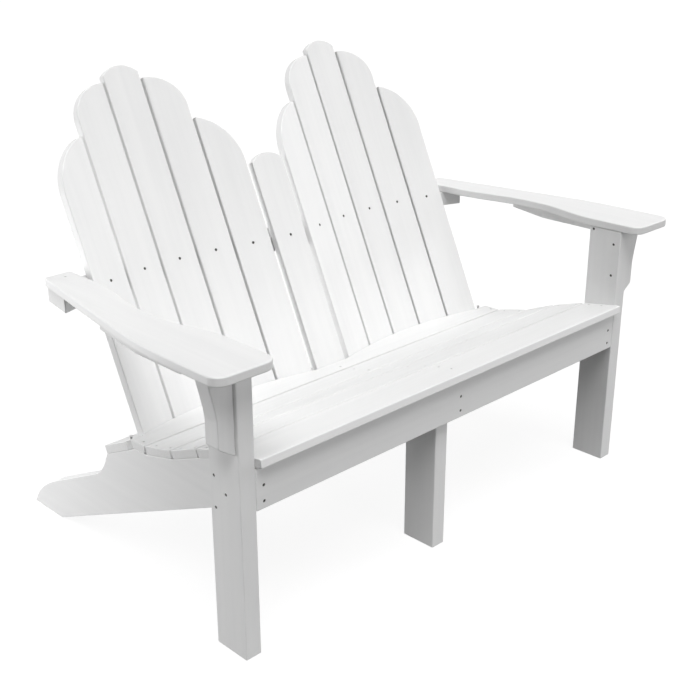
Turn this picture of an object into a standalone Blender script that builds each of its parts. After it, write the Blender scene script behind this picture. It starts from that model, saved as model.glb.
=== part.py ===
# Adirondack loveseat in white plastic lumber: every board and screw is its own solid.
# The seat faces -Y. Left is -X and right is +X, as seen from in front of it.
# Heights are above the floor, depths (Y) are behind the front faces of the legs, and widths
# (X) are from the middle of the seat. The finished part is shifted to the middle of its box.

import math

import bmesh
import bpy
from mathutils import Matrix, Vector

MM = 0.001

# Clearance between pieces that touch, and how far a cutter runs past what it cuts
GAP = 0.3 * MM
OVERRUN = 8.0 * MM

# Lumber
FRAME_THICK = 38.1 * MM
BOARD_WIDTH = 88.9 * MM
SLAT_THICK = 19.0 * MM
EDGE_ROUND = 2.5 * MM
SEAT_ROUND = 3.0 * MM
ARM_ROUND = 3.2 * MM
SAWN_ROUND = 1.0 * MM

# Legs and apron
FRAME_WIDTH = 1240.0 * MM
ARM_HEIGHT = 633.7 * MM
APRON_THICK = 19.0 * MM

# Seat: height and overhang of the front edge, and the slope of each slat from front to rear
SEAT_HEIGHT = 430.6 * MM
SEAT_NOSE = 15.2 * MM
FRONT_SLAT_WIDTH = 105.2 * MM
SEAT_GAP = 4.7 * MM
SEAT_SLOPES = (10.5, 17.7, 22.5, 14.1, 2.0)

# Stringers: depth at the front, the shelf under the back, and the tail behind the shelf,
# which makes the rear foot
STRINGER_DEPTH = 81.8 * MM
SHELF_MARGIN = 2.0 * MM
NECK_RUN = 52.5 * MM
NECK_DROP = 69.0 * MM
NECK_BEND_SHARES = (0.35, 0.71)
TAIL_REACH = 341.5 * MM
TAIL_ROUND_RUN = 101.0 * MM
TAIL_ROUND_RISE = 91.0 * MM
TAIL_ROUND_SHARES = (0.79, 0.55)
FOOT_LENGTH = 116.0 * MM

# Back: two fans of slats on arcs behind the rear seat slat, one short slat between them
REAR_SLAT_WIDTH = 83.1 * MM
BACK_LEAN = 25.1
FAN_RADIUS = 1004.0 * MM
FAN_SLATS = 5
BACK_GAP = 6.0 * MM
CENTRE_GAP = 11.4 * MM
ARM_GAP = 4.1 * MM
FLAT_MARGIN = 4.5 * MM

# Tops of the back slats above the seat, along the slats: the tall middle slat of each fan,
# its two neighbours and the two outer ones, which both fall away from the middle slat
TALL_TOP = 774.3 * MM
NEXT_TOP = 740.3 * MM
NEXT_FALL = 80.0 * MM
OUTER_TOP = 629.3 * MM
OUTER_FALL = 120.0 * MM
SHORT_TOP = 516.3 * MM
CROWN_RISE = 19.0 * MM
NEXT_FALL_POWER = 2.0
OUTER_FALL_POWER = 1.5

# Back rails: how far the lower one lies under the seat line, its depth behind the fans, and
# the least depth of the upper one, whose ends come forward by the horn
LOWER_RAIL_DROP = 17.45 * MM
LOWER_RAIL_DEPTH = 63.8 * MM
UPPER_RAIL_DEPTH = 31.5 * MM
UPPER_RAIL_HORN = 26.0 * MM
UPPER_RAIL_INSET = 7.0 * MM

# Arms: outline sizes, and the hollow in the inner edge
ARM_THICK = 19.0 * MM
ARM_LAP = 27.7 * MM
ARM_WIDTH = 139.7 * MM
ARM_REAR_WIDTH = 64.0 * MM
ARM_NOSE = 48.0 * MM
ARM_REAR_INSET = 6.0 * MM
ARM_FRONT_ROUND = 27.0 * MM
ARM_REAR_ROUND = 9.0 * MM
ARM_TAPER_START = 183.0 * MM
ARM_TAPER_EASE = 90.0 * MM
HOLLOW_DEPTH = 32.0 * MM
HOLLOW_START = 90.0 * MM
HOLLOW_IN = 180.0 * MM
HOLLOW_FLAT = 25.0 * MM
HOLLOW_OUT = 240.0 * MM

# How far each arm is set outward of its drawn place, at the leg fronts and at its rear end
LEFT_ARM_FRONT_OUT = 4.8 * MM
LEFT_ARM_REAR_OUT = 1.8 * MM
RIGHT_ARM_FRONT_OUT = 26.8 * MM
RIGHT_ARM_REAR_OUT = 11.8 * MM

# Arm brackets on the outer faces of the legs
BRACKET_SETBACK = 7.5 * MM
BRACKET_TOP_REACH = 58.6 * MM
BRACKET_REACH = 38.1 * MM
BRACKET_DROP = 172.0 * MM
BRACKET_FLARE_DROP = 95.0 * MM
BRACKET_FLARE_SHARE = 0.84
BRACKET_FOOT_RISE = 25.0 * MM
BRACKET_CORNER = 8.0 * MM

# Arm supports: flat plates under the arms, behind the legs
SUPPORT_THICK = 21.0 * MM
SUPPORT_LAP = 7.0 * MM
SUPPORT_WIDTH = 59.0 * MM
SUPPORT_TIP_SHARE = 0.6
SUPPORT_LENGTH = 299.0 * MM
SUPPORT_INNER_SHARE = 0.56
SUPPORT_OUTER_SHARE = 0.455

# Screws
HEAD_RADIUS = 3.2 * MM
HEAD_HEIGHT = 2.4 * MM
HEAD_SINK = 0.6 * MM
SHANK_RADIUS = 2.0 * MM
POINT_LENGTH = 5.0 * MM
SCREW_BITE = 24.0 * MM
APRON_SCREW_SHARES = (0.474, 0.886)
LEG_SCREW_SHARES = ((0.855, 0.156), (0.472, 0.57), (0.832, 0.862))
BRACKET_SCREW_SHARES = ((0.3, 0.201), (0.3, 0.662))
BACK_SCREW_DROP = 6.5 * MM

# How finely curves are stepped
SCREW_STEPS = 10
CURVE_STEPS = 10
FAN_STEPS = 16
CORNER_STEPS = 5
EDGE_SEGMENTS = 3

# Finishes: colour, roughness, metallic
LUMBER_FINISH = ((0.86, 0.86, 0.86, 1.0), 0.45, 0.0)
SCREW_FINISH = ((0.28, 0.27, 0.26, 1.0), 0.35, 1.0)

# Places worked out from the sizes above
LEG_OUTER = FRAME_WIDTH / 2
LEG_INNER = LEG_OUTER - FRAME_THICK
ARM_UNDERSIDE = ARM_HEIGHT - ARM_THICK
FRAME_TOP = ARM_UNDERSIDE - GAP
APRON_REAR = APRON_THICK + GAP
STRINGER_OUTER = LEG_INNER - GAP
STRINGER_X = STRINGER_OUTER - FRAME_THICK / 2
ARM_INNER = LEG_INNER - ARM_LAP
ARM_OUTER = ARM_INNER + ARM_WIDTH
ARM_REAR_OUTER = ARM_INNER + ARM_REAR_WIDTH
FAN_LIMIT = ARM_INNER - ARM_GAP
LEAN = math.radians(BACK_LEAN)
SIDES = {"left": -1, "right": 1}


def bezier(start, bend, end, steps):
    # Points of a quadratic curve from start to end that is drawn towards bend.
    points = []
    for index in range(steps + 1):
        t = index / steps
        points.append(start * (1 - t) ** 2 + bend * 2 * t * (1 - t) + end * t ** 2)
    return points


def round_corner(before, corner, after, radius):
    # Arc of the given radius in a corner between two straight edges.
    to_before = (before - corner).normalized()
    to_after = (after - corner).normalized()
    half = to_before.angle(to_after) / 2
    middle = (to_before + to_after).normalized()
    centre = corner + middle * (radius / math.sin(half))
    first = (corner + to_before * (radius / math.tan(half)) - centre).normalized()
    last = (corner + to_after * (radius / math.tan(half)) - centre).normalized()
    points = []
    for index in range(CORNER_STEPS + 1):
        spoke = first.slerp(last, index / CORNER_STEPS)
        points.append(centre + spoke.normalized() * radius)
    return points


def ease(t):
    # A smooth step from 0 to 1.
    return (1 - math.cos(math.pi * t)) / 2


def meet(point_a, along_a, point_b, along_b):
    # Where two straight lines cross.
    apart = point_b - point_a
    return point_a + along_a * (apart.cross(along_b) / along_a.cross(along_b))


def downhill(slope):
    # Direction in side view (depth, height) of a line that falls towards the rear.
    angle = math.radians(slope)
    return Vector((math.cos(angle), -math.sin(angle)))


def seat_line():
    # Seat surface in side view: the front end, the middle of each gap, and the rear end.
    widths = [FRONT_SLAT_WIDTH] + [BOARD_WIDTH] * (len(SEAT_SLOPES) - 1)
    points = [Vector((-SEAT_NOSE, SEAT_HEIGHT)) - downhill(SEAT_SLOPES[0]) * SEAT_GAP / 2]
    for width, slope in zip(widths, SEAT_SLOPES):
        points.append(points[-1] + downhill(slope) * (width + SEAT_GAP))
    return points


SEAT_LINE = seat_line()


def under_slat(index, depth):
    # Point and direction of the line that lies the given depth under a seat slat's top.
    along = downhill(SEAT_SLOPES[index])
    return SEAT_LINE[index] + Vector((along.y, -along.x)) * depth, along


def frame_height_at(index, y):
    # Height of what carries a seat slat, at a depth y behind the leg fronts.
    start, along = under_slat(index, SLAT_THICK + GAP)
    return meet(start, along, Vector((y, 0)), Vector((0, 1))).y


# Axes of the leaning back in side view: up the slats, and backward through them
UP_SLAT = Vector((math.sin(LEAN), math.cos(LEAN)))
THROUGH_SLAT = Vector((math.cos(LEAN), -math.sin(LEAN)))
BACK_FOOT = SEAT_LINE[-2] + downhill(SEAT_SLOPES[-1]) * (SEAT_GAP / 2 + REAR_SLAT_WIDTH)


def fan_layout():
    # Angle of one slat and of one gap on the arc, and the fan's middle, so that each fan
    # fills the space between the short middle slat and the arm.
    gap_angle = 2 * math.asin(BACK_GAP / 2 / FAN_RADIUS)
    slat_angle = BOARD_WIDTH / FAN_RADIUS
    for _ in range(12):
        width = 2 * FAN_RADIUS * math.sin(slat_angle / 2)
        half = (FAN_LIMIT - width / 2 - CENTRE_GAP) / 2
        last_angle = (FAN_SLATS - 1) / 2 * (slat_angle + gap_angle)
        edge = math.asin((half - SLAT_THICK * math.sin(last_angle)) / FAN_RADIUS)
        slat_angle = (2 * edge - (FAN_SLATS - 1) * gap_angle) / FAN_SLATS
    return slat_angle, gap_angle, FAN_LIMIT - half


SLAT_ANGLE, GAP_ANGLE, FAN_X = fan_layout()
SLAT_WIDTH = 2 * FAN_RADIUS * math.sin(SLAT_ANGLE / 2)
CHORD_RADIUS = FAN_RADIUS * math.cos(SLAT_ANGLE / 2)
FLAT_HALF = SLAT_WIDTH / 2 + FLAT_MARGIN
REAR_RADIUS = FAN_RADIUS + SLAT_THICK + GAP


def fan_edge(radius, half_length):
    # Edge that follows both fans at a distance from their centres: (width, depth) points,
    # flat behind the short slat and beyond the fans.
    first = math.asin((FLAT_HALF - FAN_X) / radius)
    last = math.asin((FAN_LIMIT - FAN_X) / radius)
    right = []
    for index in range(FAN_STEPS + 1):
        angle = first + (last - first) * index / FAN_STEPS
        right.append(Vector((FAN_X + radius * math.sin(angle),
                             radius * math.cos(angle) - FAN_RADIUS)))
    if half_length > right[-1].x + GAP:
        right.append(Vector((half_length, right[-1].y)))
    return [Vector((-p.x, p.y)) for p in reversed(right)] + right


# A rail edge is a string of chords, which are kept clear of the arc that they cut across
CHORD_STEP = 2 * math.asin((FAN_LIMIT - FLAT_HALF) / 2 / REAR_RADIUS) / FAN_STEPS
RAIL_RADIUS = REAR_RADIUS / math.cos(CHORD_STEP / 2)
RAIL_FLAT = fan_edge(RAIL_RADIUS, FAN_LIMIT)[FAN_STEPS + 1].y
SHORT_SLAT_DEPTH = RAIL_FLAT - GAP - SLAT_THICK


def side_point(up, through):
    # Side-view point from distances up the slats and backward through them.
    return BACK_FOOT + UP_SLAT * up + THROUGH_SLAT * through


def depth_at_height(through, height):
    # Depth of a plane parallel to the slats, at a height.
    return meet(side_point(0, through), UP_SLAT, Vector((0, height)), Vector((1, 0))).x


UPPER_RAIL_REAR = depth_at_height(REAR_RADIUS - FAN_RADIUS, FRAME_TOP) + UPPER_RAIL_DEPTH
ARM_REAR = UPPER_RAIL_REAR - ARM_REAR_INSET
LOWER_RAIL_REAR = REAR_RADIUS - FAN_RADIUS + LOWER_RAIL_DEPTH
SHELF_UP = -LOWER_RAIL_DROP - SLAT_THICK - GAP
SHELF_END = side_point(SHELF_UP, LOWER_RAIL_REAR + SHELF_MARGIN)
REAR_REACH = SHELF_END.x + TAIL_REACH


def arm_out(side, y):
    # How far an arm is set outward of its drawn place, at a depth.
    front, rear = LEFT_ARM_FRONT_OUT, LEFT_ARM_REAR_OUT
    if side == "right":
        front, rear = RIGHT_ARM_FRONT_OUT, RIGHT_ARM_REAR_OUT
    return front + (rear - front) * y / ARM_REAR


# The arms are widest where their rounded front corners end
WIDEST_Y = ARM_FRONT_ROUND - ARM_NOSE
MIDDLE_X = (arm_out("right", WIDEST_Y) - arm_out("left", WIDEST_Y)) / 2
MIDDLE_Y = (REAR_REACH - ARM_NOSE) / 2
TO_ORIGIN = Matrix.Translation((-MIDDLE_X, -MIDDLE_Y, 0))
# Side view turned into the world: its depth is Y, its height is Z, and it faces along X
SIDE_VIEW = Matrix(((0, 0, 1, 0), (1, 0, 0, 0), (0, 1, 0, 0), (0, 0, 0, 1)))


def clear_scene():
    for item in list(bpy.data.objects):
        bpy.data.objects.remove(item, do_unlink=True)


def new_collection(name):
    collection = bpy.data.collections.new(name)
    bpy.context.scene.collection.children.link(collection)
    return collection


clear_scene()
PARTS = new_collection("adirondack_loveseat")
CUTTERS = new_collection("cutters")


def add_material(item, finish):
    colour, roughness, metallic = finish
    material = bpy.data.materials.new(item.name + "_finish")
    material.use_nodes = True
    shader = material.node_tree.nodes["Principled BSDF"]
    shader.inputs["Base Color"].default_value = colour
    shader.inputs["Roughness"].default_value = roughness
    shader.inputs["Metallic"].default_value = metallic
    item.data.materials.append(material)


def add_edges(item, width, along):
    # Rounded edges of a board: all of its sharp edges, or only those along one axis, so
    # that sawn ends stay flat.
    bevel = item.modifiers.new("rounded_edges", "BEVEL")
    bevel.width = width
    bevel.segments = EDGE_SEGMENTS
    bevel.limit_method = "ANGLE"
    if along is None:
        return
    bevel.limit_method = "WEIGHT"
    mesh = item.data
    weights = mesh.attributes.new("bevel_weight_edge", "FLOAT", "EDGE")
    for edge, weight in zip(mesh.edges, weights.data):
        start, end = [mesh.vertices[index].co for index in edge.vertices]
        run = (end - start).normalized()
        weight.value = abs(run[along])


def add_part(name, mesh, matrix):
    item = bpy.data.objects.new(name, mesh)
    PARTS.objects.link(item)
    item.matrix_world = TO_ORIGIN @ matrix
    return item


def add_cutter(name, mesh, matrix):
    item = bpy.data.objects.new(name, mesh)
    CUTTERS.objects.link(item)
    item.matrix_world = TO_ORIGIN @ matrix
    item.hide_render = True
    item.display_type = "WIRE"
    return item


def cut(item, cutter):
    modifier = item.modifiers.new(cutter.name, "BOOLEAN")
    modifier.object = cutter
    modifier.operation = "DIFFERENCE"
    modifier.solver = "EXACT"


def outline_mesh(name, points, thickness):
    # Flat plate with the given outline, half its thickness to each side of local Z = 0.
    curve = bpy.data.curves.new(name + "_outline", "CURVE")
    curve.dimensions = "2D"
    curve.fill_mode = "BOTH"
    curve.extrude = thickness / 2
    spline = curve.splines.new("POLY")
    spline.points.add(len(points) - 1)
    for target, point in zip(spline.points, points):
        target.co = (point.x, point.y, 0, 1)
    spline.use_cyclic_u = True
    holder = bpy.data.objects.new(name + "_outline", curve)
    CUTTERS.objects.link(holder)
    depsgraph = bpy.context.evaluated_depsgraph_get()
    mesh = bpy.data.meshes.new_from_object(holder.evaluated_get(depsgraph))
    bpy.data.objects.remove(holder, do_unlink=True)
    bpy.data.curves.remove(curve)
    mesh.name = name
    shape = bmesh.new()
    shape.from_mesh(mesh)
    bmesh.ops.remove_doubles(shape, verts=shape.verts, dist=GAP / 10)
    bmesh.ops.dissolve_limit(shape, angle_limit=math.radians(0.1), verts=shape.verts,
                             edges=shape.edges)
    bmesh.ops.recalc_face_normals(shape, faces=shape.faces)
    shape.to_mesh(mesh)
    shape.free()
    return mesh


def box_mesh(name, size):
    mesh = bpy.data.meshes.new(name)
    shape = bmesh.new()
    bmesh.ops.create_cube(shape, size=1, matrix=Matrix.Diagonal((*size, 1)))
    shape.to_mesh(mesh)
    shape.free()
    return mesh


def add_board(name, mesh, matrix, rounding=EDGE_ROUND, along=None):
    item = add_part(name, mesh, matrix)
    add_material(item, LUMBER_FINISH)
    add_edges(item, rounding, along)
    return item


def add_box(name, low, high):
    # Upright board between two opposite corners.
    size = [b - a for a, b in zip(low, high)]
    middle = [(a + b) / 2 for a, b in zip(low, high)]
    return add_board(name, box_mesh(name, size), Matrix.Translation(middle))


def end_leg(side):
    sign = SIDES[side]
    inner, outer = sorted((sign * LEG_INNER, sign * LEG_OUTER))
    return add_box("front_leg_" + side, (inner, 0, 0), (outer, BOARD_WIDTH, FRAME_TOP))


def middle_leg():
    # Stands behind the apron, against the left face of the middle stringer.
    right = -FRAME_THICK / 2 - GAP
    rear = APRON_REAR + BOARD_WIDTH
    top = min(frame_height_at(0, rear), frame_height_at(1, rear))
    return add_box("front_leg_middle", (right - FRAME_THICK, APRON_REAR, 0),
                   (right, rear, top))


APRON_TOP = frame_height_at(0, APRON_THICK)


def apron():
    half = LEG_INNER - GAP
    return add_box("front_apron", (-half, 0, APRON_TOP - BOARD_WIDTH),
                   (half, APRON_THICK, APRON_TOP))


STRINGER_TOE = Vector((APRON_REAR, frame_height_at(0, APRON_REAR) - STRINGER_DEPTH))


def stringer_height_at(y, share):
    # Height at a share of the stringer's depth under its top edge, near its front end.
    top = frame_height_at(0, y)
    foot = Vector((REAR_REACH - FOOT_LENGTH, 0))
    bottom = meet(foot, STRINGER_TOE - foot, Vector((y, 0)), Vector((0, 1))).y
    return top + (bottom - top) * share


def stringer_outline():
    # Side view: along under the seat, down to the rear foot, and back along the underside.
    carry = [under_slat(index, SLAT_THICK + GAP) for index in range(len(SEAT_SLOPES))]
    lines = [(Vector((APRON_REAR, 0)), Vector((0, 1)))] + carry
    lines.append((SHELF_END, THROUGH_SLAT))
    top = [meet(*first, *second) for first, second in zip(lines, lines[1:])]
    neck = SHELF_END + Vector((NECK_RUN, -NECK_DROP))
    neck_bend = SHELF_END + Vector((NECK_RUN * NECK_BEND_SHARES[0],
                                    -NECK_DROP * NECK_BEND_SHARES[1]))
    tail = Vector((REAR_REACH - TAIL_ROUND_RUN, TAIL_ROUND_RISE))
    tail_bend = Vector((tail.x + TAIL_ROUND_RUN * TAIL_ROUND_SHARES[0],
                        TAIL_ROUND_RISE * TAIL_ROUND_SHARES[1]))
    heel = Vector((REAR_REACH, 0))
    foot = Vector((REAR_REACH - FOOT_LENGTH, 0))
    return (top + bezier(SHELF_END, neck_bend, neck, CURVE_STEPS)
            + bezier(tail, tail_bend, heel, CURVE_STEPS) + [foot, STRINGER_TOE])


def stringer(side, x):
    name = "stringer_" + side
    mesh = outline_mesh(name, stringer_outline(), FRAME_THICK)
    return add_board(name, mesh, Matrix.Translation((x, 0, 0)) @ SIDE_VIEW, SAWN_ROUND)


def seat_slat(index):
    # A slat starts half a gap behind the seat line's point and lies just under the line.
    # The rear one runs past the back, where its rear edge is then cut.
    name = "seat_slat_" + str(index + 1)
    width = BOARD_WIDTH if index else FRONT_SLAT_WIDTH
    if index == len(SEAT_SLOPES) - 1:
        width = REAR_SLAT_WIDTH + 2 * SEAT_ROUND
    middle, along = under_slat(index, SLAT_THICK / 2)
    middle = middle + along * (SEAT_GAP + width) / 2
    matrix = Matrix.Translation((0, middle.x, middle.y))
    tilt = Matrix.Rotation(-math.radians(SEAT_SLOPES[index]), 4, "X")
    mesh = box_mesh(name, (2 * STRINGER_OUTER, width, SLAT_THICK))
    return add_board(name, mesh, matrix @ tilt, SEAT_ROUND, 0)


def scallop_rear(item):
    # Cuts the rear seat slat parallel to the back slats, just in front of them.
    edge = fan_edge(CHORD_RADIUS - GAP, LEG_INNER + OVERRUN)
    behind = Vector((0, BOARD_WIDTH))
    points = edge + [edge[-1] + behind, edge[0] + behind]
    mesh = outline_mesh("seat_scallop", points, SLAT_THICK * 4)
    matrix = Matrix.Translation((0, BACK_FOOT.x, BACK_FOOT.y))
    cut(item, add_cutter("seat_scallop", mesh, matrix @ Matrix.Rotation(-LEAN, 4, "X")))


def lower_rail():
    # Lies square to the back slats, behind them, on the stringers.
    half = STRINGER_OUTER
    rear = LOWER_RAIL_REAR
    points = fan_edge(RAIL_RADIUS, half) + [Vector((half, rear)), Vector((-half, rear))]
    mesh = outline_mesh("lower_back_rail", points, SLAT_THICK)
    middle = side_point(-LOWER_RAIL_DROP - SLAT_THICK / 2, 0)
    matrix = Matrix.Translation((0, middle.x, middle.y)) @ Matrix.Rotation(-LEAN, 4, "X")
    return add_board("lower_back_rail", mesh, matrix, SAWN_ROUND)


def arm_outer(y):
    # Outer edge of the arms behind the bend, as a straight taper.
    share = (y - ARM_TAPER_START) / (ARM_REAR - ARM_TAPER_START)
    return ARM_OUTER + (ARM_REAR_OUTER - ARM_OUTER) * share


def upper_rail():
    # Level rail whose front edge meets the rear faces of the slats at its top.
    right = []
    for point in fan_edge(RAIL_RADIUS, FAN_LIMIT)[FAN_STEPS + 1:]:
        right.append(Vector((point.x, depth_at_height(point.y, FRAME_TOP))))
    tip = right[-1].y - UPPER_RAIL_HORN
    right.append(Vector((arm_outer(tip) - UPPER_RAIL_INSET, tip)))
    rear = Vector((arm_outer(UPPER_RAIL_REAR) - UPPER_RAIL_INSET, UPPER_RAIL_REAR))
    right.append(rear)
    points = right + [Vector((-p.x, p.y)) for p in reversed(right)]
    mesh = outline_mesh("upper_back_rail", points, FRAME_THICK)
    return add_board("upper_back_rail", mesh,
                     Matrix.Translation((0, 0, FRAME_TOP - FRAME_THICK / 2)))


def crown(top):
    # Symmetric rounded top: an arc over the slat's whole width.
    half = SLAT_WIDTH / 2
    radius = (half ** 2 + CROWN_RISE ** 2) / 2 / CROWN_RISE
    reach = math.asin(half / radius)
    points = []
    for index in range(CURVE_STEPS + 1):
        angle = reach * (1 - 2 * index / CURVE_STEPS)
        points.append(Vector((radius * math.sin(angle), top - radius * (1 - math.cos(angle)))))
    return points


def shoulder(top, fall, power, fall_side):
    # Top that falls towards one edge, steepest at that edge.
    points = []
    for index in range(CURVE_STEPS + 1):
        angle = math.pi / 2 * index / CURVE_STEPS
        across = SLAT_WIDTH * (math.sin(angle) ** (2 / power) - 0.5)
        points.append(Vector((fall_side * across, top - fall * (1 - math.cos(angle)))))
    return points if fall_side < 0 else list(reversed(points))


def slat_place(number):
    # Matrix of a slat's front face at the seat line, and the outline of its top.
    # Local X runs across the slat, Y up it, and Z out of its front.
    leaning = Matrix.Translation((0, BACK_FOOT.x, BACK_FOOT.y))
    leaning = leaning @ Matrix.Rotation(math.pi / 2 - LEAN, 4, "X")
    if number == FAN_SLATS + 1:
        shift = Matrix.Translation((0, 0, -SHORT_SLAT_DEPTH))
        return leaning @ shift, crown(SHORT_TOP)
    group = -1 if number <= FAN_SLATS else 1
    first = 1 if group < 0 else FAN_SLATS + 2
    step = number - first - (FAN_SLATS - 1) / 2
    angle = step * (SLAT_ANGLE + GAP_ANGLE)
    x = group * FAN_X + CHORD_RADIUS * math.sin(angle)
    depth = CHORD_RADIUS * math.cos(angle) - FAN_RADIUS
    matrix = leaning @ Matrix.Translation((x, 0, -depth)) @ Matrix.Rotation(-angle, 4, "Y")
    if step == 0:
        return matrix, crown(TALL_TOP)
    side = 1 if step > 0 else -1
    if abs(step) == 1:
        return matrix, shoulder(NEXT_TOP, NEXT_FALL, NEXT_FALL_POWER, side)
    return matrix, shoulder(OUTER_TOP, OUTER_FALL, OUTER_FALL_POWER, side)


def back_slat(number):
    # Ends at the bottom level with the underside of the lower rail.
    name = "back_slat_{:02d}".format(number)
    matrix, top = slat_place(number)
    half = SLAT_WIDTH / 2
    bottom = -LOWER_RAIL_DROP - SLAT_THICK
    outline = top + [Vector((-half, bottom)), Vector((half, bottom))]
    mesh = outline_mesh(name, outline, SLAT_THICK)
    return add_board(name, mesh, matrix @ Matrix.Translation((0, 0, -SLAT_THICK / 2)))


def arm_outline():
    # Outline of the right arm as it is drawn, seen from above.
    front_inner = Vector((ARM_INNER, -ARM_NOSE))
    front_outer = Vector((ARM_OUTER, -ARM_NOSE))
    rear_outer = Vector((ARM_REAR_OUTER, ARM_REAR))
    rear_inner = Vector((ARM_INNER, ARM_REAR))
    bend = Vector((ARM_OUTER, ARM_TAPER_START))
    before = bend - Vector((0, ARM_TAPER_EASE))
    after = Vector((arm_outer(bend.y + ARM_TAPER_EASE), bend.y + ARM_TAPER_EASE))
    points = round_corner(rear_inner, front_inner, front_outer, ARM_FRONT_ROUND)
    points += round_corner(front_inner, front_outer, before, ARM_FRONT_ROUND)
    points += bezier(before, bend, after, CURVE_STEPS)
    points += round_corner(after, rear_outer, rear_inner, ARM_REAR_ROUND)
    points += round_corner(rear_outer, rear_inner, front_inner, ARM_REAR_ROUND)
    full_start = HOLLOW_START + HOLLOW_IN
    full_end = full_start + HOLLOW_FLAT
    for index in range(CURVE_STEPS + 1):
        t = index / CURVE_STEPS
        points.append(Vector((ARM_INNER + HOLLOW_DEPTH * ease(t),
                              full_end + HOLLOW_OUT * (1 - t))))
    for index in range(CURVE_STEPS + 1):
        t = index / CURVE_STEPS
        points.append(Vector((ARM_INNER + HOLLOW_DEPTH * ease(1 - t),
                              full_start - HOLLOW_IN * t)))
    return points


def mirrored(points, sign):
    return [Vector((sign * point.x, point.y)) for point in points]


def arm(side):
    name = "arm_" + side
    points = [Vector((p.x + arm_out(side, p.y), p.y)) for p in arm_outline()]
    mesh = outline_mesh(name, mirrored(points, SIDES[side]), ARM_THICK)
    matrix = Matrix.Translation((0, 0, ARM_HEIGHT - ARM_THICK / 2))
    return add_board(name, mesh, matrix, ARM_ROUND)


def arm_support(side):
    front = BOARD_WIDTH + GAP
    inner = LEG_OUTER - SUPPORT_LAP
    outer = inner + SUPPORT_WIDTH
    points = [Vector((inner, front)),
              Vector((outer, front)),
              Vector((outer, front + SUPPORT_LENGTH * SUPPORT_OUTER_SHARE)),
              Vector((inner + SUPPORT_WIDTH * SUPPORT_TIP_SHARE, front + SUPPORT_LENGTH)),
              Vector((inner, front + SUPPORT_LENGTH * SUPPORT_INNER_SHARE))]
    name = "arm_support_" + side
    mesh = outline_mesh(name, mirrored(points, SIDES[side]), SUPPORT_THICK)
    return add_board(name, mesh,
                     Matrix.Translation((0, 0, FRAME_TOP - SUPPORT_THICK / 2)))


def bracket_outline():
    # Front view of the right bracket: X outward from the leg's face, Y is the height.
    face = GAP
    flare_end = Vector((BRACKET_REACH, FRAME_TOP - BRACKET_FLARE_DROP))
    flare_start = Vector((BRACKET_TOP_REACH, FRAME_TOP))
    bend_drop = BRACKET_FLARE_DROP * BRACKET_FLARE_SHARE
    flare_bend = Vector((BRACKET_REACH, FRAME_TOP - bend_drop))
    heel = Vector((face, FRAME_TOP - BRACKET_DROP))
    corner = Vector((BRACKET_REACH, heel.y + BRACKET_FOOT_RISE))
    return ([Vector((face, FRAME_TOP))]
            + bezier(flare_start, flare_bend, flare_end, CURVE_STEPS)
            + round_corner(flare_end, corner, heel, BRACKET_CORNER) + [heel])


def arm_bracket(side):
    name = "arm_bracket_" + side
    sign = SIDES[side]
    mesh = outline_mesh(name, mirrored(bracket_outline(), sign), FRAME_THICK)
    matrix = Matrix.Translation((sign * LEG_OUTER, BRACKET_SETBACK + FRAME_THICK / 2, 0))
    return add_board(name, mesh, matrix @ Matrix.Rotation(math.pi / 2, 4, "X"))


def turned(name, profile, link):
    # Solid turned round local Z from (radius, height) points that run from top to bottom.
    mesh = bpy.data.meshes.new(name)
    edges = [(index, index + 1) for index in range(len(profile) - 1)]
    mesh.from_pydata([(radius, 0, height) for radius, height in profile], edges, [])
    item = link(name, mesh)
    turn = item.modifiers.new("turned", "SCREW")
    turn.steps = SCREW_STEPS
    turn.render_steps = SCREW_STEPS
    turn.use_merge_vertices = True
    turn.merge_threshold = GAP / 10
    return item


def screw(name, head, direction, through, boards):
    # A screw driven from its head's place along a direction: through one board of the
    # given thickness, and by its bite into the next.
    length = through + SCREW_BITE
    aim = Vector(direction).to_track_quat("-Z", "Y").to_matrix().to_4x4()
    place = Matrix.Translation(Vector(head) + Vector(direction) * HEAD_SINK) @ aim
    body = [(0, 0), (HEAD_RADIUS, 0), (HEAD_RADIUS, -HEAD_HEIGHT),
            (SHANK_RADIUS, -HEAD_HEIGHT), (SHANK_RADIUS, POINT_LENGTH - length), (0, -length)]
    item = turned(name, body, lambda label, mesh: add_part(label, mesh, place))
    add_material(item, SCREW_FINISH)
    bore = HEAD_RADIUS + GAP
    pilot = SHANK_RADIUS + GAP
    seat = -HEAD_HEIGHT - GAP
    hole = [(0, OVERRUN), (bore, OVERRUN), (bore, seat), (pilot, seat),
            (pilot, -length - GAP), (0, -length - GAP)]
    cutter = turned(name + "_hole", hole, lambda label, mesh: add_cutter(label, mesh, place))
    for board in boards:
        cut(board, cutter)


def apron_screws(board, stringers):
    # Through the apron into the ends of the stringers, over the height that both share.
    lap = min(BOARD_WIDTH, STRINGER_DEPTH)
    for side, x in (("left", -STRINGER_X), ("middle", 0), ("right", STRINGER_X)):
        for label, share in zip(("upper", "lower"), APRON_SCREW_SHARES):
            screw("apron_screw_{}_{}".format(side, label), (x, 0, APRON_TOP - lap * share),
                  (0, 1, 0), APRON_THICK, (board, stringers[side]))


def leg_screws(side, leg, beam):
    # Through the leg into the stringer's side.
    sign = SIDES[side]
    for index, (back, down) in enumerate(LEG_SCREW_SHARES):
        y = BOARD_WIDTH * back
        screw("leg_screw_{}_{}".format(side, index + 1),
              (sign * LEG_OUTER, y, stringer_height_at(y, down)), (-sign, 0, 0), FRAME_THICK,
              (leg, beam))


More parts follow.
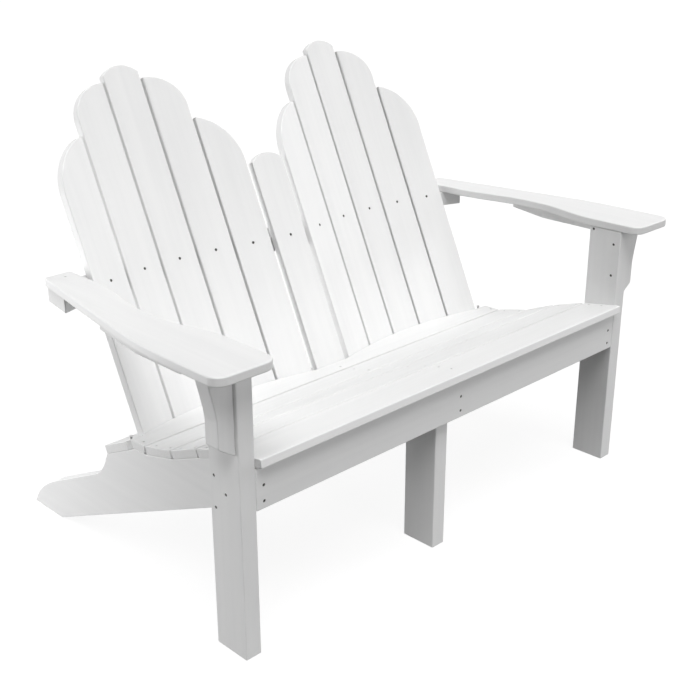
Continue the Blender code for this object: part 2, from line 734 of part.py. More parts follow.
def bracket_screws(side, leg, bracket):
    # From inside through the leg into the bracket.
    sign = SIDES[side]
    for label, (back, down) in zip(("upper", "lower"), BRACKET_SCREW_SHARES):
        head = (sign * LEG_INNER, BRACKET_SETBACK + FRAME_THICK * back,
                FRAME_TOP - BRACKET_DROP * down)
        screw("bracket_screw_{}_{}".format(side, label), head, (sign, 0, 0), FRAME_THICK,
              (leg, bracket))


def back_screw(number, slat, rail):
    # Square to the slat's face, at the height where its point enters the rail below its top.
    matrix, _ = slat_place(number)
    rear = matrix @ Vector((0, 0, -SLAT_THICK))
    up = (FRAME_TOP - BACK_SCREW_DROP - rear.z) / math.cos(LEAN)
    head = matrix @ Vector((0, up, 0))
    through = matrix.to_3x3() @ Vector((0, 0, -1))
    screw("back_screw_{:02d}".format(number), head, through, SLAT_THICK, (slat, rail))


def build():
    legs = {side: end_leg(side) for side in SIDES}
    middle_leg()
    board = apron()
    places = {"left": -STRINGER_X, "middle": 0, "right": STRINGER_X}
    stringers = {side: stringer(side, x) for side, x in places.items()}
    slats = [seat_slat(index) for index in range(len(SEAT_SLOPES))]
    scallop_rear(slats[-1])
    lower_rail()
    rail = upper_rail()
    for number in range(1, 2 * FAN_SLATS + 2):
        back_screw(number, back_slat(number), rail)
    apron_screws(board, stringers)
    for side in SIDES:
        arm(side)
        arm_support(side)
        bracket = arm_bracket(side)
        leg_screws(side, legs[side], stringers[side])
        bracket_screws(side, legs[side], bracket)


build()
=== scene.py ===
import math

import bpy
import numpy as np
from mathutils.geometry import tessellate_polygon
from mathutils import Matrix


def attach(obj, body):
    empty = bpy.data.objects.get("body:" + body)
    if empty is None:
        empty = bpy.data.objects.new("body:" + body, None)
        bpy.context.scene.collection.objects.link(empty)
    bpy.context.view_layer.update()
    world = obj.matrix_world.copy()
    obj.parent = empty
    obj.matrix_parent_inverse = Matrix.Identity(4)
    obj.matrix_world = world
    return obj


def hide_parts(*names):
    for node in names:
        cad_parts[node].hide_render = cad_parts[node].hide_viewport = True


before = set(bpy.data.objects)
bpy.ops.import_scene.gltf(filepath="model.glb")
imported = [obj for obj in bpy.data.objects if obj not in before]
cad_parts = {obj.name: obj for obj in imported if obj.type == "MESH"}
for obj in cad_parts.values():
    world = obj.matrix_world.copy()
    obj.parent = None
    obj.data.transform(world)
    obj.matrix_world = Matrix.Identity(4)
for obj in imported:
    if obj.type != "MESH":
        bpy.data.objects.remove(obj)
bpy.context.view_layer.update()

mm = 0.001
gap = 0.3 * mm  # clearance between boards that touch
print("frame loaded:", len(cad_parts), "nodes")

# Places are worked out as in a workshop drawing: X across, Y behind the leg fronts, Z up.
# middle then moves the whole seat to the middle of its box.
sides = {"left": -1, "right": 1}
frameBoard = {"thick": 38.1 * mm, "width": 88.9 * mm, "round": 2.5 * mm}
slatBoard = {"thick": 19.0 * mm, "round": 2.5 * mm}
overall = {"width": 1240.0 * mm, "armHeight": 633.7 * mm}
legOuter = overall["width"] / 2
legInner = legOuter - frameBoard["thick"]
frameTop = overall["armHeight"] - slatBoard["thick"] - gap
innerEnd = legInner - gap


# Shader trees
class Sock:
    # One output in a shader tree. Arithmetic on it adds Math nodes.
    def __init__(self, shading, output):
        self.shading = shading
        self.output = output

    def __add__(self, other):
        return self.shading.maths("ADD", self, other)

    def __radd__(self, other):
        return self.shading.maths("ADD", other, self)

    def __sub__(self, other):
        return self.shading.maths("SUBTRACT", self, other)

    def __rsub__(self, other):
        return self.shading.maths("SUBTRACT", other, self)

    def __mul__(self, other):
        return self.shading.maths("MULTIPLY", self, other)

    def __rmul__(self, other):
        return self.shading.maths("MULTIPLY", other, self)


class Shading:
    # The tree of a material or a world, and the one method that puts a node into it.
    def __init__(self, owner):
        self.owner = owner
        self.owner.use_nodes = True
        self.tree = owner.node_tree
        self.tree.nodes.clear()

    def add(self, kind, settings=None, values=None, output=0):
        node = self.tree.nodes.new(kind)
        for key, value in (settings or {}).items():
            setattr(node, key, value)
        for key, value in (values or {}).items():
            if isinstance(value, Sock):
                self.tree.links.new(value.output, node.inputs[key])
            else:
                node.inputs[key].default_value = value
        return Sock(self, node.outputs[output] if node.outputs else None)

    def maths(self, operation, first, second):
        return self.add("ShaderNodeMath", {"operation": operation}, {0: first, 1: second})

    def attribute(self, name, output="Vector"):
        return self.add("ShaderNodeAttribute", {"attribute_name": name}, output=output)

    def noise(self, vector, scale, detail=2.0, roughness=0.5):
        values = {"Vector": vector, "Scale": scale, "Detail": detail, "Roughness": roughness}
        return self.add("ShaderNodeTexNoise", {}, values)

    def stretch(self, vector, scale):
        return self.add("ShaderNodeMapping", {}, {"Vector": vector, "Scale": scale})

    def ramp(self, value, low, high):
        values = {"Value": value, "From Min": low, "From Max": high}
        return self.add("ShaderNodeMapRange", {"interpolation_type": "SMOOTHSTEP"}, values)

    def blend(self, share, first, second):
        values = {0: share, 6: first, 7: second}
        return self.add("ShaderNodeMix", {"data_type": "RGBA"}, values, 2)

    def finish(self, surface):
        self.add("ShaderNodeOutputMaterial", {}, {"Surface": surface})
        return self.owner


lumberLook = {
    "colour": (0.812, 0.812, 0.810, 1.0),
    "shade": (0.775, 0.776, 0.776, 1.0),      # the deepest of the soft mottling
    "sawn": (0.745, 0.745, 0.742, 1.0),       # saw-cut ends
    "wornAndHighlight": (0.845, 0.845, 0.842, 1.0),       # rubbed edges, and a painted highlight along the rounded edges
    "roughness": 0.46,
    "streakScale": (5.0, 420.0, 420.0),       # fine lines drawn along the board
    "streakShare": 0.30,
    "bandScale": (1.5, 70.0, 70.0),
    "mottleScale": (3.0, 16.0, 16.0),
    "mottleShare": 0.62,                      # the bands make up the rest
    "speckScale": 900.0,
    "cellScale": 260.0,                       # the open cells of a sawn end
    "wornAndHighlightShare": 0.55,
    "bump": 0.10,
    "bumpDepth": 0.4 * mm,
    "coat": 0.06,
    "coatRoughness": 0.25,
    "bend": 1.49,                             # index of refraction
}


def lumberMaterial():
    look = lumberLook
    shading = Shading(bpy.data.materials.new("whiteLumber"))
    place = shading.attribute("grain")
    edge = shading.attribute("edge", "Fac")
    sawn = shading.attribute("sawn", "Fac")
    streak = shading.noise(shading.stretch(place, look["streakScale"]), 1.0, 3.0, 0.6)
    band = shading.noise(shading.stretch(place, look["bandScale"]), 1.0, 2.0)
    mottle = shading.noise(shading.stretch(place, look["mottleScale"]), 1.0, 3.0)
    speck = shading.noise(place, look["speckScale"], 2.0, 0.7)
    cells = shading.noise(place, look["cellScale"], 4.0, 0.75)
    mixed = mottle * look["mottleShare"] + band * (1 - look["mottleShare"])
    shade = shading.ramp(mixed, 0.32, 0.68)
    colour = shading.blend(shade, look["shade"], look["colour"])
    streakOn = shading.ramp(streak, 0.52, 0.80) * look["streakShare"]
    colour = shading.blend(streakOn, colour, look["shade"])
    # painted highlight, partly real wear: the rounded edges are lightened towards a paler colour
    wornAndHighlightOn = edge * shading.ramp(mottle, 0.35, 0.62) * look["wornAndHighlightShare"]
    colour = shading.blend(wornAndHighlightOn, colour, look["wornAndHighlight"])
    endShade = sawn * (0.45 + 0.55 * shading.ramp(cells, 0.40, 0.62))
    colour = shading.blend(endShade, colour, look["sawn"])
    roughness = look["roughness"] + (streak - 0.5) * 0.16 + (mottle - 0.5) * 0.10
    roughness = roughness - edge * 0.05 + sawn * 0.16
    relief = streak * 0.5 + band * 0.3 + speck * 0.12 + sawn * cells * 0.9
    normal = shading.add("ShaderNodeBump", {}, {
        "Height": relief, "Strength": look["bump"], "Distance": look["bumpDepth"]})
    surface = shading.add("ShaderNodeBsdfPrincipled", {}, {
        "Base Color": colour, "Roughness": roughness, "Normal": normal,
        "IOR": look["bend"], "Coat Weight": look["coat"],
        "Coat Roughness": look["coatRoughness"]})
    return shading.finish(surface)


# The darker colour of each look serves for stains and for the painted shade in the drive recess.
steelLook = {
    "colour": (0.150, 0.147, 0.143, 1.0),
    "stainAndRecessShade": (0.060, 0.059, 0.058, 1.0),
    "metallic": 0.85, "roughness": 0.38,
}
coatedLook = {
    "colour": (0.66, 0.66, 0.655, 1.0),
    "stainAndRecessShade": (0.50, 0.50, 0.495, 1.0),
    "metallic": 0.0, "roughness": 0.42,
}


screwGrain = {"brushed": (900.0, 260.0, 900.0), "stain": 500.0, "bump": 0.15, "bumpDepth": 0.1 * mm}


def screwMaterial(name, look):
    shading = Shading(bpy.data.materials.new(name))
    place = shading.attribute("grain")
    recess = shading.attribute("edge", "Fac")
    brushed = shading.noise(shading.stretch(place, screwGrain["brushed"]), 1.0, 3.0)
    stain = shading.noise(place, screwGrain["stain"], 3.0, 0.6)
    colour = shading.blend(shading.ramp(stain, 0.40, 0.70), look["colour"], look["stainAndRecessShade"])
    # painted shade: the square drive recess is darkened towards the darker colour
    colour = shading.blend(recess * 0.8, colour, look["stainAndRecessShade"])
    roughness = look["roughness"] + (brushed - 0.5) * 0.25 + recess * 0.2
    normal = shading.add("ShaderNodeBump", {}, {
        "Height": brushed + stain * 0.5, "Strength": screwGrain["bump"],
        "Distance": screwGrain["bumpDepth"]})
    surface = shading.add("ShaderNodeBsdfPrincipled", {}, {
        "Base Color": colour, "Metallic": look["metallic"], "Roughness": roughness,
        "Normal": normal})
    return shading.finish(surface)


whiteLumber = lumberMaterial()
screwSteel = screwMaterial("screwSteel", steelLook)
screwCoated = screwMaterial("screwCoated", coatedLook)
print("materials made")


# Outlines
def bezier(start, bend, end, steps=24):
    # Quadratic curve: start (1-t)^2 + 2 bend t (1-t) + end t^2.
    t = np.linspace(0, 1, steps + 1)[:, None]
    middlePart = np.array(bend) * 2 * t * (1 - t)
    return np.array(start) * (1 - t) ** 2 + middlePart + np.array(end) * t ** 2


def meet(pointA, alongA, pointB, alongB):
    # Where two straight lines cross.
    apart = np.subtract(pointB, pointA)
    share = (apart[0] * alongB[1] - apart[1] * alongB[0]) / (
        alongA[0] * alongB[1] - alongA[1] * alongB[0])
    return np.array(pointA) + np.array(alongA) * share


def rectangle(lowX, lowY, highX, highY):
    return np.array([(lowX, lowY), (highX, lowY), (highX, highY), (lowX, highY)])


def roundOutline(points, radius, steps=6, sharpFrom=6.0):
    # Closed outline with its corners rounded. Each corner where the edges turn by more than
    # sharpFrom degrees becomes an arc that touches both edges; the angle of its spoke runs
    # evenly from one edge's normal to the other's. Other points stay, with the mean normal.
    # The third result is the corner's own direction, halfway between its edges' normals.
    points = np.asarray(points, float)
    radius = np.broadcast_to(radius, len(points)).astype(float)
    following = np.roll(points, -1, 0)
    area = np.sum(points[:, 0] * following[:, 1] - points[:, 1] * following[:, 0])
    if area < 0:
        points = points[::-1]
        radius = radius[::-1]
    goOut = np.roll(points, -1, 0) - points
    lengthOut = np.linalg.norm(goOut, axis=1)
    goOut = goOut / lengthOut[:, None]
    goIn = np.roll(goOut, 1, 0)
    lengthIn = np.roll(lengthOut, 1)
    turn = np.arctan2(goIn[:, 0] * goOut[:, 1] - goIn[:, 1] * goOut[:, 0], np.sum(goIn * goOut, 1))
    sharp = np.abs(turn) > math.radians(sharpFrom)
    room = 0.49 * np.minimum(lengthIn, lengthOut) / np.tan(np.maximum(np.abs(turn), 1e-6) / 2)
    radius = np.where(sharp, np.minimum(radius, room), 0.0)
    share = np.linspace(0, 1, steps + 1)[None, :]
    share = np.where(sharp[:, None], share, 0.5)
    angle = np.arctan2(-goIn[:, 0], goIn[:, 1])[:, None] + turn[:, None] * share
    normal = np.stack([np.cos(angle), np.sin(angle)], 2)
    half = np.arctan2(-goIn[:, 0], goIn[:, 1]) + turn / 2
    bisector = np.stack([np.cos(half), np.sin(half)], 1)
    bend = np.sign(turn)
    centre = points - bisector * (bend * radius / np.cos(turn / 2))[:, None]
    arc = centre[:, None, :] + normal * (bend * radius)[:, None, None]
    keep = sharp[:, None] | (np.arange(steps + 1)[None, :] == 0)
    between = np.broadcast_to(bisector[:, None, :], arc.shape)
    return arc[keep], normal[keep], between[keep]


# Boards
def axes(x, y, z, origin):
    # Where a piece lies: its three axes and its origin, moved to the middle of the box.
    return np.array([x, y, z], float), np.array(origin, float) - middle


def makeMesh(name, corners, faces, normals, attributes):
    mesh = bpy.data.meshes.new(name)
    mesh.from_pydata(corners.tolist(), [], faces)
    mesh.polygons.foreach_set("use_smooth", np.ones(len(mesh.polygons), bool))
    for key, values in attributes.items():
        kind, field = ("FLOAT", "value") if values.ndim == 1 else ("FLOAT_VECTOR", "vector")
        layer = mesh.attributes.new(key, kind, "POINT")
        layer.data.foreach_set(field, values.astype(np.float32).ravel())
    mesh.normals_split_custom_set_from_vertices(normals.tolist())
    mesh.validate(clean_customdata=False)
    return mesh


def addPiece(name, mesh, material, node=None):
    mesh.materials.append(material)
    piece = bpy.data.objects.new(name, mesh)
    bpy.context.scene.collection.objects.link(piece)
    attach(piece, "root")
    if node:
        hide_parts(node)
    return piece


bore = {"radius": 3.5 * mm, "lip": 0.35 * mm, "depth": 3.0 * mm, "steps": 20}


def boreRings(x, y, side, half):
    # Screw hole: rings of one circle carried down a profile of a rounded lip and a wall.
    angle = np.linspace(0, 2 * math.pi, bore["steps"], endpoint=False)
    spoke = np.stack([np.cos(angle), np.sin(angle)], 1)
    lip = bore["lip"]
    reach = bore["radius"] + lip * np.array([1.0, 0.29, 0.0, 0.0])
    down = np.array([0.0, 0.29 * lip, lip, bore["depth"]])
    tilt = np.radians([90.0, 45.0, 0.0, 0.0])
    flat = np.array([x, y]) + reach[:, None, None] * spoke[None]
    height = np.broadcast_to((side * (half - down))[:, None, None], flat.shape[:2] + (1,))
    normal = -spoke[None] * np.cos(tilt)[:, None, None]
    upward = np.broadcast_to((side * np.sin(tilt))[:, None, None], flat.shape[:2] + (1,))
    return np.concatenate([flat, height], 2), np.concatenate([normal, upward], 2)


def gridFaces(rows, columns, start, turned=False):
    # Quads between rings of points that are numbered ring by ring from start.
    row, column = np.meshgrid(np.arange(rows - 1), np.arange(columns), indexing="ij")
    after = (column + 1) % columns
    quads = [row * columns + column, row * columns + after,
             (row + 1) * columns + after, (row + 1) * columns + column]
    quads = np.stack(quads, 2).reshape(-1, 4) + start
    return quads[:, ::-1] if turned else quads


def capFaces(corners, loops, side):
    # Flat face between an outer loop and the loops of its holes, as triangles that look out.
    order = np.concatenate(loops)
    flat = [[tuple(corner) for corner in corners[loop]] for loop in loops]
    found = np.array(tessellate_polygon(flat))
    a, b, c = (corners[order[found[:, index]], :2] for index in range(3))
    lean = (b[:, 0] - a[:, 0]) * (c[:, 1] - a[:, 1]) - (b[:, 1] - a[:, 1]) * (c[:, 0] - a[:, 0])
    found = np.where((lean * side < 0)[:, None], found[:, ::-1], found)
    return order[found[np.abs(lean) > 1e-14]]


boardCount = {"made": 0}
boardSet = {
    "cornerShare": 1.08,      # least corner radius, as a share of the edge's round
    "endCornerShare": 1.3,    # the same at a square sawn end, as a share of its inset
    "sawnFrom": 0.8, "sawnOver": 0.15,   # how squarely an edge must face along the board
    "grainShift": np.array([0.731, 0.173, 0.097]),
}


def plank(name, points, thick, edgeRound, place, along, corner=None, holes=(), lean=None,
          endInset=None):
    # Board: its outline is carried through a profile that is a straight wall with a quarter
    # round at each face, so a point is (outline - pull * (1 - cos a), height), with the height
    # thick/2 - round * (1 - sin a) and the pull normal * round. At a square sawn end the pull
    # is only endInset along the board, and its corners move by both pulls. Its faces are flat.
    half = thick / 2
    points = np.asarray(points, float)
    corner = np.maximum(edgeRound * boardSet["cornerShare"], 0 if corner is None else corner)
    if endInset is not None:
        edges = np.roll(points, -1, 0) - points
        isEnd = np.abs(edges[:, along]) < 0.1 * np.linalg.norm(edges, axis=1)
        endCorner = endInset * boardSet["endCornerShare"]
        corner = np.where(isEnd | np.roll(isEnd, 1), endCorner, corner)
    outline, outward, between = roundOutline(points, corner)
    squarely = np.abs(outward[:, along]) - boardSet["sawnFrom"]
    endOn = np.clip(squarely / boardSet["sawnOver"], 0, 1)
    pull = outward * edgeRound
    steep = np.ones(len(outline))
    if endInset is not None:
        both = np.sign(between) * edgeRound
        both[:, along] *= endInset / edgeRound
        pull = np.where((np.abs(between[:, along]) > 0.5)[:, None], both, pull)
        steep = edgeRound / (edgeRound + (endInset - edgeRound) * endOn)
    a = np.radians(np.linspace(0, 90, 6))
    rise = half - edgeRound * (1 - np.sin(a))
    height = np.concatenate([-rise[::-1], rise])
    tilt = np.concatenate([-a[::-1], a])
    rows, columns = len(height), len(outline)
    flat = outline[None] - pull[None] * (1 - np.cos(tilt))[:, None, None]
    tall = np.broadcast_to(height[:, None, None], (rows, columns, 1))
    corners = np.concatenate([flat, tall], 2).reshape(-1, 3)
    level = np.broadcast_to(np.sin(tilt)[:, None, None], (rows, columns, 1))
    sideways = outward[None] * np.cos(tilt)[:, None, None] * steep[None, :, None]
    normals = np.concatenate([sideways, level], 2).reshape(-1, 3)
    normals = normals / np.linalg.norm(normals, axis=1)[:, None]
    # strongest halfway round each rounded edge; the material lightens it there, partly wear and partly
    # a painted highlight
    edge = np.repeat(np.sin(2 * np.abs(tilt)), columns)
    sawn = (endOn[None] * np.cos(tilt)[:, None]).ravel()
    faces = gridFaces(rows, columns, 0).tolist()
    top = [np.arange((rows - 1) * columns, rows * columns)]
    bottom = [np.arange(columns)]
    for x, y, side in holes:
        ringPoints, ringNormals = boreRings(x, y, side, half)
        rings, steps = ringPoints.shape[:2]
        start = len(corners)
        corners = np.concatenate([corners, ringPoints.reshape(-1, 3)])
        normals = np.concatenate([normals, ringNormals.reshape(-1, 3)])
        edge = np.concatenate([edge, np.zeros(rings * steps)])
        sawn = np.concatenate([sawn, np.repeat([0.0, 0.3, 1.0, 1.0], steps)])
        faces += gridFaces(rings, steps, start, side < 0).tolist()
        floor = np.arange(start + (rings - 1) * steps, start + rings * steps)
        faces.append((floor if side > 0 else floor[::-1]).tolist())
        (top if side > 0 else bottom).append(np.arange(start, start + steps))
    faces += capFaces(corners, top, 1).tolist() + capFaces(corners, bottom, -1).tolist()
    boardCount["made"] += 1
    shift = boardCount["made"] * boardSet["grainShift"]
    grain = corners[:, [along, 1 - along, 2]] + shift
    if lean is not None:
        behind = np.clip((corners[:, 1] - lean["from"]) / lean["over"], 0, 1)
        corners[:, 1] += (corners[:, 2] - half) * lean["slope"] * behind
    turn, origin = place
    mesh = makeMesh(name, corners @ turn + origin, faces, normals @ turn,
                    {"grain": grain, "edge": edge, "sawn": sawn})
    return addPiece(name + "_board", mesh, whiteLumber, name)


# Side view of the seat
seatSet = {
    "height": 430.6 * mm, "nose": 15.2 * mm, "gap": 4.7 * mm,
    "frontWidth": 105.2 * mm, "rearWidth": 83.1 * mm,
    "slopes": (10.5, 17.7, 22.5, 14.1, 2.0),  # degrees down to the rear, slat by slat
    "round": 3.0 * mm, "endInset": 0.6 * mm, "screwX": (-0.57, 0.0, 0.57),
}
backSet = {
    "lean": math.radians(25.1), "radius": 1004.0 * mm, "slats": 5, "gap": 6.0 * mm,
    "centreGap": 11.4 * mm, "armGap": 4.1 * mm, "flatMargin": 4.5 * mm,
    "tallTop": 774.3 * mm, "crownRise": 19.0 * mm, "shortTop": 516.3 * mm,
    "nextTop": (740.3 * mm, 80.0 * mm, 2.0),   # height, fall and power of the rounded top
    "outerTop": (629.3 * mm, 120.0 * mm, 1.5),
}
armSet = {
    "thick": 19.0 * mm, "lap": 27.7 * mm, "width": 139.7 * mm, "rearWidth": 64.0 * mm,
    "nose": 48.0 * mm, "rearInset": 6.0 * mm, "frontRound": 27.0 * mm, "rearRound": 9.0 * mm,
    "taperStart": 183.0 * mm, "taperEase": 90.0 * mm, "round": 3.2 * mm,
    "hollow": {"depth": 32.0 * mm, "start": 90.0 * mm, "in": 180.0 * mm,
               "flat": 25.0 * mm, "out": 240.0 * mm},
    "out": {"left": (4.8 * mm, 1.8 * mm), "right": (26.8 * mm, 11.8 * mm)},  # front, rear
}
railSet = {
    "lowerDrop": 17.45 * mm, "lowerDepth": 63.8 * mm,
    "upperDepth": 31.5 * mm, "upperHorn": 26.0 * mm, "upperInset": 7.0 * mm,
    "sawnRound": 1.0 * mm, "upperRound": 2.5 * mm,
}
stringerSet = {
    "depth": 81.8 * mm, "shelfMargin": 2.0 * mm, "neckRun": 52.5 * mm, "neckDrop": 69.0 * mm,
    "neckBend": (0.35, 0.71), "tailReach": 341.5 * mm, "tailRun": 101.0 * mm,
    "tailRise": 91.0 * mm, "tailBend": (0.79, 0.55), "foot": 116.0 * mm, "round": 1.0 * mm,
}


def downhill(slope):
    # Direction in side view (depth, height) of a line that falls towards the rear.
    angle = math.radians(slope)
    return np.array([math.cos(angle), -math.sin(angle)])


seatWidths = [seatSet["frontWidth"]] + [frameBoard["width"]] * 4
seatAlong = [downhill(slope) for slope in seatSet["slopes"]]
seatPoints = [np.array([-seatSet["nose"], seatSet["height"]]) - seatAlong[0] * seatSet["gap"] / 2]
for seatWidth, alongSlat in zip(seatWidths, seatAlong):
    seatPoints.append(seatPoints[-1] + alongSlat * (seatWidth + seatSet["gap"]))


def underSlat(index, depth):
    # Point and direction of the line at a depth under a seat slat's top.
    along = seatAlong[index]
    return seatPoints[index] + np.array([along[1], -along[0]]) * depth, along


def carryHeight(index, y):
    # Height of what carries a seat slat, at a depth behind the leg fronts.
    start, along = underSlat(index, slatBoard["thick"] + gap)
    return meet(start, along, (y, 0), (0, 1))[1]


lean = backSet["lean"]
upSlat = np.array([math.sin(lean), math.cos(lean)])
throughSlat = np.array([math.cos(lean), -math.sin(lean)])
backFoot = seatPoints[-2] + seatAlong[-1] * (seatSet["gap"] / 2 + seatSet["rearWidth"])
armInner = legInner - armSet["lap"]
armOuter = armInner + armSet["width"]
armRearOuter = armInner + armSet["rearWidth"]
fanLimit = armInner - backSet["armGap"]
fanRadius = backSet["radius"]


def fanLayout():
    # Angle of a slat and of a gap, and the fan's middle: the slats fill the room between
    # the short slat and the arm, found by repeated substitution.
    count = backSet["slats"]
    gapAngle = 2 * math.asin(backSet["gap"] / 2 / fanRadius)
    slatAngle = frameBoard["width"] / fanRadius
    for _ in range(12):
        width = 2 * fanRadius * math.sin(slatAngle / 2)
        half = (fanLimit - width / 2 - backSet["centreGap"]) / 2
        last = (count - 1) / 2 * (slatAngle + gapAngle)
        reach = math.asin((half - slatBoard["thick"] * math.sin(last)) / fanRadius)
        slatAngle = (2 * reach - (count - 1) * gapAngle) / count
    return slatAngle, gapAngle, fanLimit - half


slatAngle, gapAngle, fanX = fanLayout()
slatWidth = 2 * fanRadius * math.sin(slatAngle / 2)
chordRadius = fanRadius * math.cos(slatAngle / 2)
flatHalf = slatWidth / 2 + backSet["flatMargin"]
rearRadius = fanRadius + slatBoard["thick"] + gap
fanSteps = 32
chordStep = 2 * math.asin((fanLimit - flatHalf) / 2 / rearRadius) / 16
railRadius = rearRadius / math.cos(chordStep / 2)


def fanEdge(radius, halfLength):
    # Edge along both fans: (fanX + r sin a, r cos a - R), and its mirror image.
    first = math.asin((flatHalf - fanX) / radius)
    last = math.asin((fanLimit - fanX) / radius)
    angle = np.linspace(first, last, fanSteps + 1)
    right = np.stack([fanX + radius * np.sin(angle), radius * np.cos(angle) - fanRadius], 1)
    if halfLength > right[-1, 0] + gap:
        right = np.vstack([right, (halfLength, right[-1, 1])])
    return np.vstack([right[::-1] * (-1, 1), right])


shortDepth = fanEdge(railRadius, fanLimit)[fanSteps + 1, 1] - gap - slatBoard["thick"]


def sidePoint(up, through):
    return backFoot + upSlat * up + throughSlat * through


def depthAtHeight(through, height):
    # Depth of a plane that is parallel to the slats, at a height.
    return meet(sidePoint(0, through), upSlat, (0, height), (1, 0))[0]


upperRear = depthAtHeight(rearRadius - fanRadius, frameTop) + railSet["upperDepth"]
armRear = upperRear - armSet["rearInset"]
lowerRear = rearRadius - fanRadius + railSet["lowerDepth"]
shelfEnd = sidePoint(-railSet["lowerDrop"] - slatBoard["thick"] - gap,
                     lowerRear + stringerSet["shelfMargin"])
rearReach = shelfEnd[0] + stringerSet["tailReach"]


def armOut(side, y):
    # How far an arm is set outward of its drawn place, at a depth.
    front, rear = armSet["out"][side]
    return front + (rear - front) * y / armRear


widestY = armSet["frontRound"] - armSet["nose"]
middleX = (armOut("right", widestY) - armOut("left", widestY)) / 2
middle = np.array([middleX, (rearReach - armSet["nose"]) / 2, 0])

lengthwise = (1, 0, 0)
backward = (0, 1, 0)
upward = (0, 0, 1)
screwPlaces = []  # (name of the piece, head point, direction, node or None)


def sideOn(x):
    return axes(backward, upward, lengthwise, (x, 0, 0))


def frontOn(y):
    return axes(lengthwise, upward, (0, -1, 0), (0, y, 0))


def levelAt(z):
    return axes(lengthwise, backward, upward, (0, 0, z))


# Legs and apron
apronRear = slatBoard["thick"] + gap
apronTop = carryHeight(0, slatBoard["thick"])
apronLow = apronTop - frameBoard["width"]
stringerX = innerEnd - frameBoard["thick"] / 2
toe = np.array([apronRear, carryHeight(0, apronRear) - stringerSet["depth"]])
footFront = np.array([rearReach - stringerSet["foot"], 0])
screwSet = {
    "apron": (0.474, 0.886),
    "leg": ((0.855, 0.156), (0.472, 0.57), (0.832, 0.862)),
    "bracket": ((0.3, 0.201), (0.3, 0.662)),
    "backDrop": 6.5 * mm,
    "headSink": 0.6 * mm,
}
bracketSet = {
    "setback": 7.5 * mm, "topReach": 58.6 * mm, "reach": 38.1 * mm, "drop": 172.0 * mm,
    "flareDrop": 95.0 * mm, "flareShare": 0.84, "footRise": 25.0 * mm, "corner": 8.0 * mm,
}


def stringerHeight(y, share):
    # Height at a share of the stringer's depth under its top edge.
    top = carryHeight(0, y)
    bottom = meet(footFront, toe - footFront, (y, 0), (0, 1))[1]
    return top + (bottom - top) * share


legTopScrew = {"back": 78.7 * mm, "drop": 7.0 * mm}
for side, sign in sides.items():
    y, z = legTopScrew["back"], frameTop - legTopScrew["drop"]
    legHoles = [(y, z, -sign)]
    screwPlaces.append(("leg_top_screw_" + side, (sign * legInner, y, z), (sign, 0, 0), False))
    for number, (back, down) in enumerate(screwSet["leg"]):
        y = frameBoard["width"] * back
        z = stringerHeight(y, down)
        legHoles.append((y, z, sign))
        screwPlaces.append(("leg_screw_%s_%d" % (side, number + 1),
                            (sign * legOuter, y, z), (-sign, 0, 0), True))
    for label, (back, down) in zip(("upper", "lower"), screwSet["bracket"]):
        y = bracketSet["setback"] + frameBoard["thick"] * back
        z = frameTop - bracketSet["drop"] * down
        legHoles.append((y, z, -sign))
        screwPlaces.append(("bracket_screw_%s_%s" % (side, label),
                            (sign * legInner, y, z), (sign, 0, 0), True))
    plank("front_leg_" + side, rectangle(0, 0, frameBoard["width"], frameTop),
          frameBoard["thick"], frameBoard["round"],
          sideOn(sign * (legInner + legOuter) / 2), 1, holes=legHoles)

middleTop = min(carryHeight(0, apronRear + frameBoard["width"]),
                carryHeight(1, apronRear + frameBoard["width"]))
plank("front_leg_middle",
      rectangle(apronRear, 0, apronRear + frameBoard["width"], middleTop),
      frameBoard["thick"], frameBoard["round"], sideOn(-frameBoard["thick"] - gap), 1)

apronHoles = []
for side, x in (("left", -stringerX), ("middle", 0.0), ("right", stringerX)):
    for label, share in zip(("upper", "lower"), screwSet["apron"]):
        z = apronTop - min(frameBoard["width"], stringerSet["depth"]) * share
        apronHoles.append((x, z, 1))
        screwPlaces.append(("apron_screw_%s_%s" % (side, label), (x, 0, z), (0, 1, 0), True))
plank("front_apron", rectangle(-innerEnd, apronLow, innerEnd, apronTop),
      slatBoard["thick"], frameBoard["round"], frontOn(slatBoard["thick"] / 2), 0,
      holes=apronHoles)
print("legs and apron made")

# Stringers
carry = [underSlat(index, slatBoard["thick"] + gap) for index in range(5)]
lines = [(np.array([apronRear, 0]), np.array([0, 1]))] + carry + [(shelfEnd, throughSlat)]
stringerTop = [meet(*first, *second) for first, second in zip(lines, lines[1:])]
neck = shelfEnd + (stringerSet["neckRun"], -stringerSet["neckDrop"])
neckBend = shelfEnd + (stringerSet["neckRun"] * stringerSet["neckBend"][0],
                       -stringerSet["neckDrop"] * stringerSet["neckBend"][1])
tail = np.array([rearReach - stringerSet["tailRun"], stringerSet["tailRise"]])
tailBend = tail + (stringerSet["tailRun"] * stringerSet["tailBend"][0],
                   stringerSet["tailRise"] * (stringerSet["tailBend"][1] - 1))
stringerOutline = np.vstack([
    stringerTop, bezier(shelfEnd, neckBend, neck), bezier(tail, tailBend, (rearReach, 0)),
    footFront, toe])
for side, x in (("left", -stringerX), ("middle", 0.0), ("right", stringerX)):
    plank("stringer_" + side, stringerOutline, frameBoard["thick"], stringerSet["round"],
          sideOn(x), 0)
print("stringers made")

# Seat slats
seatScrews = {0: (47.0, 84.0), 1: (16.0, 68.0), 2: (16.0, 68.0), 3: (14.0, 64.0), 4: (17.0, 62.0)}


def seatPlace(index):
    # A seat slat's frame: X across, Y down the slope, Z out of its top, at its middle.
    along = seatAlong[index]
    start, _ = underSlat(index, slatBoard["thick"] / 2)
    start = start + along * seatSet["gap"] / 2
    return axes(lengthwise, (0, along[0], along[1]), (0, -along[1], along[0]),
                (0, start[0], start[1]))


